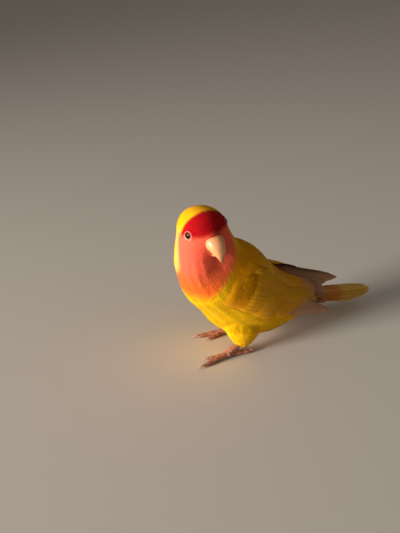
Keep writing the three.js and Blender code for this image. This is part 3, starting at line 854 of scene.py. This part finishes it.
def vane(place, root, tip, width, heights, roll, pointed, draw):
    run = np.array([tip[0] - root[0], tip[1] - root[1]])
    length = np.hypot(*run)
    sideways = np.array([-run[1], run[0]]) / length
    outline = vaneOutline(pointed)[:, None]
    s = vaneStations[:, None]
    x = vaneAcross
    rag = 1 + vaneShape["ragged"] * draw.standard_normal((2, len(s)))
    reach = width / 2 * outline * x * np.where(x < 0, rag[0][:, None], rag[1][:, None])
    along = root[0] + run[0] * s + sideways[0] * reach
    across = root[1] + run[1] * s + sideways[1] * reach
    height = mix(*heights, smooth(s, 0, vaneShape["settle"])) - roll * x * outline
    bulge = vaneShape["camber"] * width * (1 - x**2) * outline
    thick = vaneShape["thick"] * (1 - x**2) * np.minimum(outline * vaneShape["thinning"], 1)
    shaft = vaneShape["shaft"] * np.maximum(1 - np.abs(x) / vaneShape["shaftHalf"], 0)
    shaft = shaft * mix(1, vaneShape["shaftEnd"], s)
    points = place(along, across, height + bulge + vaneUpper * thick / 2 + shaft * (vaneUpper > 0))
    return {
        "points": points.reshape(-1, 3),
        "run": np.repeat(vaneStations, len(x)),
        "across": np.tile(x, len(s)),
        "under": np.tile(vaneUpper < 0, len(s)),
        "length": length,
    }


def vanePiece(name, vanes, colourOf, replaced=()):
    rows, ring = len(vaneStations), len(vaneAcross)
    corners, starts = repeatFaces(tubeFaces(rows, ring), rows * ring, len(vanes))
    mesh = arrayMesh(name, np.concatenate([v["points"] for v in vanes]), corners, starts)
    paint(mesh, np.concatenate([colourOf(i, v) for i, v in enumerate(vanes)]).clip(0, 1))
    columns = int(math.ceil(math.sqrt(len(vanes))))
    barbs, cells = [], []
    for i, v in enumerate(vanes):
        slanted = v["run"] * v["length"] + np.abs(v["across"]) * vaneMap["slant"]
        barbs.append(np.stack([v["across"] * vaneMap["acrossBarbs"], slanted], axis=1))
        across = vaneMap["middle"] + vaneMap["half"] * v["across"] + vaneMap["under"] * v["under"]
        along = vaneMap["low"] + vaneMap["long"] * v["run"]
        cells.append((np.stack([across, along], axis=1) + [i % columns, i // columns]) / columns)
    addMap(mesh, "barbs", np.concatenate(barbs))
    addMap(mesh, "OFBake", np.concatenate(cells))
    addPiece(name, mesh, wingMaterial, replaced)


# Tiers of wing feathers. Roots and tips are (along, across) for the lowest feather and the highest.
wingTiers = {
    "primaries": {
        "count": 8, "roots": ((40, -4), (40, 4)), "tips": ((93, -3), (70, 4.5)), "width": 7.0,
        "heights": (-1.6, -0.4), "roll": 0.65, "pointed": 1.7,
    },
    "secondaries": {
        "count": 9, "roots": ((30, -4), (32, 16)), "tips": ((58, -3.5), (74, 9)), "width": 6.6,
        "heights": (-1.5, 0.15), "roll": 0.5, "pointed": 2.4,
    },
    "primary_coverts": {
        "count": 4, "roots": ((18, -6), (20, -2)), "tips": ((42, -6), (42, -1)), "width": 5.5,
        "heights": (-1.3, 0.2), "roll": 0.35, "pointed": 2.2,
    },
    "greater_coverts": {
        "count": 10, "roots": ((16, -3), (18, 19)), "tips": ((38, -3), (48, 16)), "width": 5.4,
        "heights": (-1.5, 0.25), "roll": 0.36, "pointed": 2.8,
    },
    "median_coverts": {
        "count": 10, "roots": ((8, -4), (10, 19)), "tips": ((26, -4), (34, 18)), "width": 5.2,
        "heights": (-2.4, 0.3), "roll": 0.3, "pointed": 2.8,
    },
    "scapulars": {
        "count": 5, "roots": ((14, 24), (32, 20)), "tips": ((34, 25), (60, 15.5)), "width": 7.6,
        "heights": (-1.2, 0.5), "roll": 0.3, "pointed": 2.5,
    },
}
# What a dropped wing does for each millimetre: its low primaries draw back, its inner tiers sink, its
# primaries are painted paler as painted light on a wing in shade, and more of its secondaries turn mauve.
dropping = {"draw": 0.03, "drawn": 0.35, "sink": 0.6, "paintedLift": 7}
tipJitter = (0.4, 0.2)
wingMarks = {
    "outerEdge": (-0.7, 0.5), "outerShare": (0.7, 0.4), "rootShare": 0.35, "rootRun": (0.6, 0.3),
    "endRun": (0.68, 0.96), "endPaintedLift": (0.5, 0.3), "endShare": (0.85, 0.25), "jitter": 0.04,
}
vaneTone = {
    "base": 0.9, "run": 0.06, "fringe": 0.1, "shaft": 0.1, "shaftEdge": (0.14, 0.02), "tip": (0.84, 1),
    "side": (0.75, 1), "sideRun": (0.3, 0.6),
}
wingMaterial = vaneMaterial()
wingDraw = np.random.default_rng(7)


def vaneShade(v):
    across = np.abs(v["across"])
    side = smooth(across, *vaneTone["side"]) * smooth(v["run"], *vaneTone["sideRun"])
    fringe = np.maximum(smooth(v["run"], *vaneTone["tip"]), side)
    shade = vaneTone["base"] + vaneTone["run"] * v["run"] + vaneTone["fringe"] * fringe
    return (shade - vaneTone["shaft"] * smooth(across, *vaneTone["shaftEdge"]))[:, None]


def wingColour(tier, pale):
    last = wingTiers[tier]["count"] - 1

    def colourOf(i, v):
        base = np.tile(colours["wing"], (len(v["run"]), 1))
        if tier == "primaries":
            outer = smooth(-v["across"], *wingMarks["outerEdge"]) * mix(*wingMarks["outerShare"], i / last)
            # Primaries are mauve with cream edges, white feathers painted in shaded tones. By pale a dropped
            # wing's primaries are painted cream: painted light on a wing in shade.
            base = blended(colours["mauve"], colours["cream"], np.maximum(outer, pale))
            root = wingMarks["rootShare"] * smooth(v["run"], *wingMarks["rootRun"])
            base = blended(base, colours["wing"], root)
        elif tier == "secondaries":
            # By pale a dropped wing's secondaries turn mauve sooner.
            low, high = (run - back * pale for run, back in zip(wingMarks["endRun"], wingMarks["endPaintedLift"]))
            lowest, highest = wingMarks["endShare"]
            end = smooth(v["run"], low, high) * mix(lowest, highest + pale, i / last)
            base = blended(base, colours["mauve"], end)
        return base * (1 + wingMarks["jitter"] * wingDraw.standard_normal()) * vaneShade(v)

    return colourOf


def makeWing(which, spec):
    place = wingPlacer(spec)
    drop = spec["drop"]

    def onBed(along, across, height):
        return place(along, across, bedRise(along, across) + height)

    for tier, row in wingTiers.items():
        vanes = []
        for t in np.linspace(0, 1, row["count"] + (drop // 2 if tier == "primaries" else 0)):
            root, tip = ([mix(low, high, t) for low, high in zip(*row[end])] for end in ("roots", "tips"))
            if tier == "primaries":
                tip[0] *= spec["reach"] * (1 - dropping["draw"] * drop * smooth(t, dropping["drawn"], 0))
                tip[1] -= drop * (1 - t) ** 2
            elif tier in ("secondaries", "scapulars"):
                tip[1] -= dropping["sink"] * drop * t
                root[1] -= dropping["sink"] * drop * t
                tip[0] -= drop * t
            tip[0] += tipJitter[0] * wingDraw.standard_normal()
            tip[1] += tipJitter[1] * wingDraw.standard_normal()
            shape = (row["width"], row["heights"], row["roll"], row["pointed"])
            vanes.append(vane(onBed, root, tip, *shape, wingDraw))
        vanePiece(f"{tier}_{which}", vanes, wingColour(tier, drop / dropping["paintedLift"]))
    growWingCoat(which, wingPad(which, onBed, spec["side"]), spec)


# The pad of flesh in the wing, and the surface over it that the lesser coverts lie on.
pad = {
    "along": (-6, 46, 27), "shares": 15, "inner": -4.5, "sink": 0.65, "rearSink": 2.9, "rear": (14, 28),
    "edgeSink": 1.5, "lowEdge": (0.12, 0), "highEdge": (0.72, 1), "highShare": 1.6, "front": (5, -6),
    "frontShare": 1.5, "lie": 0.1, "lieAlong": (2, 15), "lieEdge": (0.8, 0), "shade": 0.8,
}


def wingPad(which, onBed, side):
    alongs = np.linspace(*pad["along"])
    shares = np.linspace(0, 1, pad["shares"])
    low = np.interp(alongs, bed["along"], bed["low"])[:, None]
    high = np.interp(alongs, bed["along"], bed["high"])[:, None]
    across = low + (high - low) * shares[None]
    along = np.repeat(alongs[:, None], len(shares), axis=1)
    edge = np.maximum(smooth(shares, *pad["lowEdge"]), pad["highShare"] * smooth(shares, *pad["highEdge"]))
    front = np.maximum(edge, pad["frontShare"] * smooth(along, *pad["front"]))
    sink = pad["sink"] + pad["rearSink"] * smooth(along, *pad["rear"]) + pad["edgeSink"] * front
    outer = onBed(along, across, -sink)
    inner = onBed(along, across, np.full(along.shape, pad["inner"]))
    raised = smooth(along, *pad["lieAlong"]) * smooth(edge, *pad["lieEdge"])
    lieOn = onBed(along, across, mix(-sink, pad["lie"], raised))
    bm = bmesh.new()
    loops = np.concatenate([outer, inner[:, ::-1]], axis=1)
    spots = [bm.verts.new(toWorld(point)) for point in loops.reshape(-1, 3)]
    for face in tubeFaces(*loops.shape[:2]):
        bm.faces.new([spots[k] for k in face])
    bmesh.ops.recalc_face_normals(bm, faces=bm.faces)
    # The pad is the wing's colour darkened: painted shade under the coverts.
    shade = flat(colours["wing"] * pad["shade"])
    finishPiece(
        meshFrom(bm), f"wing_pad_{which}", coatMaterial, shade, [f"wing_{which}"]
    )
    cell = np.array([0, 1, len(shares) + 1, len(shares)])[::side]
    first = np.arange(len(alongs) - 1)[:, None] * len(shares) + np.arange(len(shares) - 1)[None]
    corners = (first.reshape(-1, 1) + cell).ravel()
    return surfaceOf(arrayMesh("lying surface", lieOn.reshape(-1, 3), corners, np.arange(first.size) * 4))


wingCoat = {
    "perSquare": 3.0, "end": (15, 20), "endLift": (0, 14), "spacing": (1.1, 1.6), "spacingAlong": (-3, 16),
    "length": (3.6, 7.5), "width": (2.4, 4.8), "depth": (0.8, 1.25), "grown": (-3, 14), "blades": 24,
}


def growWingCoat(which, surface, spec):
    bend, axis = axisOf(spec["bend"], spec["tip"])

    def alongOf(points):
        return dot(points - bend, axis)

    def keep(points):
        along = alongOf(points)
        lift = (points - bend - axis * along[:, None])[:, 2]
        return along < mix(*wingCoat["end"], smooth(lift, *wingCoat["endLift"]))

    def spacingOf(points):
        return mix(*wingCoat["spacing"], smooth(alongOf(points), *wingCoat["spacingAlong"]))

    roots, facing = scatter(surface, wingCoat["perSquare"], spacingOf, keep, wingDraw)
    grown = smooth(alongOf(roots), *wingCoat["grown"])
    size = {key: mix(*wingCoat[key], grown) for key in ("length", "width", "depth")}
    growFeathers(
        f"lesser_coverts_{which}", surface, roots, facing, flatten(axis, facing), size, wingCoat["blades"],
        flat(colours["wing"]), wingDraw,
    )
    print("wing", which, "with", len(roots), "lesser coverts")


for which, spec in wings.items():
    makeWing(which, spec)

# Tail: twelve long feathers in a shallow fan, with rows of coverts over and under their roots.
tail = {
    "root": (0, 60, 25), "tip": (0, 119, 13.5), "droop": 0.012, "pairs": 6, "width": 8.0, "start": 4,
    "shorter": 19, "spread": (1.2, 7), "rootSpread": (1.2, 4.2), "height": 1.6, "step": 0.72,
    "rightLower": 0.36, "tipLower": 0.4, "roll": 0, "pointed": 2.0, "middle": (21, 16), "band": (11, 5),
    "bandShare": 0.7, "bandFade": (8, 1), "bandSide": (0.55, 0.95), "sideEdge": (1.0, 0.2),
    "pale": (14, 6), "paleShare": 0.6, "jitter": 0.03,
}
# Rows of coverts: how many, how long, their height, and half the angle and the width of their fan.
covertRows = (
    (7, 16, 4.8, 15, 6),
    (9, 11, 3.4, 17, 7),
    (9, 13, 2.5, 14, 6.4),
    (8, 16, 2.0, 11, 5.6),
    (7, 19, 1.6, 8, 4.6),
    (7, 30, -2.4, 9, 5),
    (8, 19, -3.0, 13, 6),
)
covert = {
    "width": 5.4, "start": 2, "shorter": 0.22, "lower": 0.3, "heightJitter": 0.1, "tip": (0.5, 1),
    "tipShare": 0.6, "root": (0.6, 0.2), "rootShare": 0.4, "jitter": 0.04,
}
tailDraw = np.random.default_rng(11)


def placeOnTail(along, across, height):
    root, axis = axisOf(tail["root"], tail["tip"])
    sideways = np.array([1.0, 0, 0])
    upward = np.cross(axis, -sideways)
    rise = (height - tail["droop"] * across**2)[..., None]
    return root + axis * along[..., None] + sideways * across[..., None] + upward * rise


def tailColour(i, v):
    along = v["run"] * v["length"]
    base = np.tile(colours["tail"], (len(along), 1))
    middle = mix(*tail["middle"], i / (2 * tail["pairs"] - 1))
    band = smooth(np.abs(along - middle), *tail["band"])
    band = band * mix(1, tail["bandShare"], smooth(i, *tail["bandFade"]))
    side = mix(*tail["bandSide"], smooth(np.abs(v["across"]), *tail["sideEdge"]))
    base = blended(base, colours["patch"], band * side)
    base = blended(base, colours["cream"], smooth(along, *tail["pale"]) * tail["paleShare"])
    return base * (1 + tail["jitter"] * tailDraw.standard_normal()) * vaneShade(v)


def covertColour(i, v):
    tip = covert["tipShare"] * smooth(v["run"], *covert["tip"])
    base = blended(colours["mauve"], colours["cream"], tip)
    base = blended(base, colours["rump"], covert["rootShare"] * smooth(v["run"], *covert["root"]))
    return base * (1 + covert["jitter"] * tailDraw.standard_normal()) * vaneShade(v)


def fanned(start, length, angle, offset):
    turn = math.radians(angle)
    return (start, offset), (start + length * math.cos(turn), offset + length * math.sin(turn))


def tailVane(root, tip, width, heights):
    return vane(placeOnTail, root, tip, width, heights, tail["roll"], tail["pointed"], tailDraw)


def makeTail():
    full = math.dist(tail["root"], tail["tip"])
    feathers = []
    for i, t in enumerate(np.linspace(0, 1, tail["pairs"])):
        length = full - tail["start"] - tail["shorter"] * t * t
        for side in (1, -1):
            angle, offset = side * mix(*tail["spread"], t), side * mix(*tail["rootSpread"], t)
            root, tip = fanned(tail["start"], length, angle, offset)
            height = tail["height"] - tail["step"] * i - (tail["rightLower"] if side < 0 else 0)
            feathers.append(tailVane(root, tip, tail["width"], (0, height - tail["tipLower"])))
    vanePiece("tail_feathers", feathers, tailColour, ["tail"])
    coverts = []
    for count, length, height, halfAngle, halfRoot in covertRows:
        for t in np.linspace(-1, 1, count):
            reach = length * (1 - covert["shorter"] * t * t)
            root, tip = fanned(covert["start"], reach, halfAngle * t, halfRoot * t)
            level = height - covert["lower"] + covert["heightJitter"] * tailDraw.standard_normal()
            coverts.append(tailVane(root, tip, covert["width"], (1 if height > 0 else -1, level)))
    vanePiece("tail_coverts", coverts, covertColour)
    print("tail", len(feathers) + len(coverts), "feathers")


makeTail()

# Bill, cere, feet and claws, each a smooth copy of its solid.
rounding = ("SUBSURF", {"levels": 2, "render_levels": 2})


def hornMaterial(name, roughness, contrast=0.1, stretch=1.0):
    return mottledMaterial(
        name, clouds=(260.0, 4.0, contrast), grain=(900.0, 2.0, 0.04), bump=(0.2, 0.0001), stretch=stretch,
        Roughness=roughness, Subsurface_Weight=0.2, Subsurface_Scale=0.002, Coat_Weight=0.12,
        Coat_Roughness=0.3,
    )


def smoothCopy(name, sources, modifiers, material, grow=0.0, colourOf=None):
    mesh = withModifiers(joinedMesh(sources, grow), *modifiers)
    finishPiece(mesh, name, material, colourOf, sources)


bill = {
    "base": linear(236, 160, 104), "ridge": linear(240, 174, 124), "tip": linear(190, 124, 74),
    "root": linear(226, 140, 104), "ridgeSide": (3.5, 0.5), "ridgeFront": (12, 18), "rootUp": (1, 4.5),
    "rootFront": (17, 14), "rootShare": 0.6, "tipUp": (-4.5, -11), "lowerTip": 0.7, "voxel": 0.25,
    "smoothing": 6, "cere": linear(200, 108, 94), "cereGrow": -0.35,
}


def billColour(points):
    forward, left, up = headPlace(points)
    ridge = smooth(np.abs(left), *bill["ridgeSide"]) * smooth(forward, *bill["ridgeFront"])
    base = blended(bill["base"], bill["ridge"], ridge)
    root = bill["rootShare"] * smooth(up, *bill["rootUp"]) * smooth(forward, *bill["rootFront"])
    base = blended(base, bill["root"], root)
    return blended(base, bill["tip"], smooth(up, *bill["tipUp"]))


def makeBill():
    look = hornMaterial("bill horn", 0.42, contrast=0.13, stretch=0.12)
    fine = remeshed(bill["voxel"]), smoothed(bill["smoothing"])
    lower = flat(mix(bill["base"], bill["tip"], bill["lowerTip"]))
    smoothCopy("upper_bill_smooth", ["upper_bill"], [rounding], look, colourOf=billColour)
    smoothCopy("lower_bill_smooth", ["lower_bill"], fine, look, colourOf=lower)
    smoothCopy(
        "cere_smooth", ["cere"], fine, skinLook, grow=bill["cereGrow"],
        colourOf=flat(bill["cere"]),
    )


foot = {
    "groove": linear(140, 84, 64), "scale": linear(194, 130, 102), "grooveWidth": 0.25,
    "claw": linear(186, 146, 130), "voxel": 0.35, "smoothing": 3,
    "toes": ("outer_front", "inner_front", "outer_back", "inner_back"),
}


def footMaterial():
    material = newMaterial("foot skin")
    place = addNode(material, "ShaderNodeTexCoord").outputs["Object"]
    edges = addNode(
        material, "ShaderNodeTexVoronoi", feature="DISTANCE_TO_EDGE", Vector=place, Scale=900.0
    ).outputs["Distance"]
    ramp = addNode(material, "ShaderNodeValToRGB", Fac=edges)
    groove, scale = ramp.color_ramp.elements
    groove.color = (*foot["groove"], 1)
    scale.color = (*foot["scale"], 1)
    scale.position = foot["grooveWidth"]
    cloud = noise(material, scale=300.0, detail=3.0)
    return finishMaterial(
        material, Base_Color=tint(material, ramp.outputs["Color"], cloud, low=0.8, high=1.15),
        Normal=bumped(material, edges, strength=0.6, distance=0.0002), Roughness=0.55,
        Subsurface_Weight=0.15, Subsurface_Scale=0.002,
    )


def makeFeet():
    footLook = footMaterial()
    clawLook = hornMaterial("claw horn", 0.42)
    rounded = remeshed(foot["voxel"]), smoothed(foot["smoothing"])
    for which in wings:
        smoothCopy(f"leg_{which}", [f"shank_{which}", f"foot_{which}"], rounded, footLook)
        for toe in foot["toes"]:
            node = f"claw_{which}_{toe}"
            smoothCopy(f"{node}_smooth", [node], [rounding], clawLook, colourOf=flat(foot["claw"]))


# Eyes: a dark ball with an iris ring under a thin clear coat, in a ring of bare skin that is paler below.
eye = {
    "radius": 3.4, "opening": 2.3, "outward": (0.4, 0.89, 0.22),
    "pupil": linear(18, 12, 11), "iris": linear(74, 40, 26), "irisInner": (27, 23), "irisOuter": (36, 42),
    "ring": linear(200, 104, 88), "ringLow": linear(236, 184, 160), "ringHeight": (1.5, -2),
    "beads": 21, "bead": 0.06, "steps": 64, "rows": 48,
}
# The ring's section, as the distance from the eye's axis and the height over the edge of its opening.
ringSection = (
    (2.2, -0.5), (2.3, 0.08), (2.52, 0.28), (2.85, 0.22), (3.1, -0.35), (3.3, -1.1), (2.6, -1.5),
)


def eyeMaterial():
    material = newMaterial("eye")
    return finishMaterial(
        material, Base_Color=painted(material), Roughness=0.08, Specular_IOR_Level=0.06, Coat_Weight=0.2,
        Coat_Roughness=0.02,
    )


def makeEye(which, side, centre):
    outward = unit(headTurned(eye["outward"][0], side * eye["outward"][1], eye["outward"][2]))
    turn = Vector((0, 0, 1)).rotation_difference(Vector(outward)).to_matrix().to_4x4()
    place = Matrix.Translation(toWorld(centre)) @ turn
    bm = bmesh.new()
    radius = eye["radius"] * mm
    bmesh.ops.create_uvsphere(bm, u_segments=eye["steps"], v_segments=eye["rows"], radius=radius)
    bmesh.ops.transform(bm, matrix=place, verts=bm.verts)

    def eyeColour(points):
        turned = np.degrees(np.arccos(np.clip(dot(unit(points - centre), outward), -1, 1)))
        iris = blended(eye["iris"], eye["pupil"], smooth(turned, *eye["irisInner"]))
        return blended(iris, eye["pupil"], smooth(turned, *eye["irisOuter"]))

    def ringColour(points):
        low = smooth(dot(points - centre, headTurned(0, 0, 1)), *eye["ringHeight"])
        return blended(eye["ring"], eye["ringLow"], low)

    finishPiece(meshFrom(bm), f"eyeball_{which}", eyeLook, eyeColour, [f"eye_{which}"])
    bm = bmesh.new()
    height = math.sqrt(eye["radius"] ** 2 - eye["opening"] ** 2)
    verts = [bm.verts.new((out * mm, 0, (height + up) * mm)) for out, up in ringSection]
    edges = [bm.edges.new((a, b)) for a, b in zip(verts, verts[1:] + verts[:1])]
    bmesh.ops.spin(
        bm, geom=verts + edges, cent=(0, 0, 0), axis=(0, 0, 1), angle=2 * math.pi, steps=eye["steps"],
        use_merge=True,
    )
    bmesh.ops.remove_doubles(bm, verts=bm.verts, dist=weld)
    bmesh.ops.recalc_face_normals(bm, faces=bm.faces)
    for vertex in bm.verts:
        vertex.co.z += eye["bead"] * mm * math.sin(eye["beads"] * math.atan2(vertex.co.y, vertex.co.x))
    bmesh.ops.transform(bm, matrix=place, verts=bm.verts)
    finishPiece(meshFrom(bm), f"eye_ring_{which}", skinLook, ringColour)


skinLook = hornMaterial("bare skin", 0.6)
makeBill()
makeFeet()
eyeLook = eyeMaterial()
for which, side, centre in zip(("left", "right"), (1, -1), eyeCentres):
    makeEye(which, side, centre)
print("bill, feet and eyes made")

# A plain pale floor and soft studio light: a low warm lamp ahead of the bird and a weak fill over its side.
studio = {
    "floor": 8.0, "floorColour": (0.66, 0.62, 0.58, 1), "skyColour": (0.9, 0.81, 0.7, 1), "sky": 0.17,
    "aim": (0, 10, 45),
}
lamps = {
    "key": {
        "from": (0.02, -0.95, 0.13), "distance": 2.0, "size": 0.62, "power": 10, "spread": 60,
        "tint": (1, 0.93, 0.83),
    },
    "fill": {
        "from": (0.7, 0.3, 0.9), "distance": 1.2, "size": 0.9, "power": 0.7, "spread": 180,
        "tint": (1, 0.95, 0.88),
    },
}


def makeStudio():
    bm = bmesh.new()
    bmesh.ops.create_grid(bm, x_segments=1, y_segments=1, size=studio["floor"] / 2)
    mesh = meshFrom(bm)
    matt = finishMaterial(newMaterial("floor"), Base_Color=studio["floorColour"], Roughness=0.9)
    mesh.materials.append(matt)
    addObject("floor", mesh)
    for name, spec in lamps.items():
        lamp = bpy.data.lights.new(name, "AREA")
        lamp.energy = spec["power"]
        lamp.size = spec["size"]
        lamp.spread = math.radians(spec["spread"])
        lamp.color = spec["tint"]
        light = bpy.data.objects.new(name, lamp)
        bpy.context.scene.collection.objects.link(light)
        away = Vector(unit(np.array(spec["from"])))
        light.location = Vector(toWorld(studio["aim"])) + away * spec["distance"]
        light.rotation_euler = away.to_track_quat("Z", "Y").to_euler()
    world = bpy.data.worlds.new("studio")
    world.use_nodes = True
    sky = {"Color": studio["skyColour"], "Strength": studio["sky"]}
    setUp(world, world.node_tree.nodes["Background"], sky)
    bpy.context.scene.world = world
    print("studio set")


makeStudio()
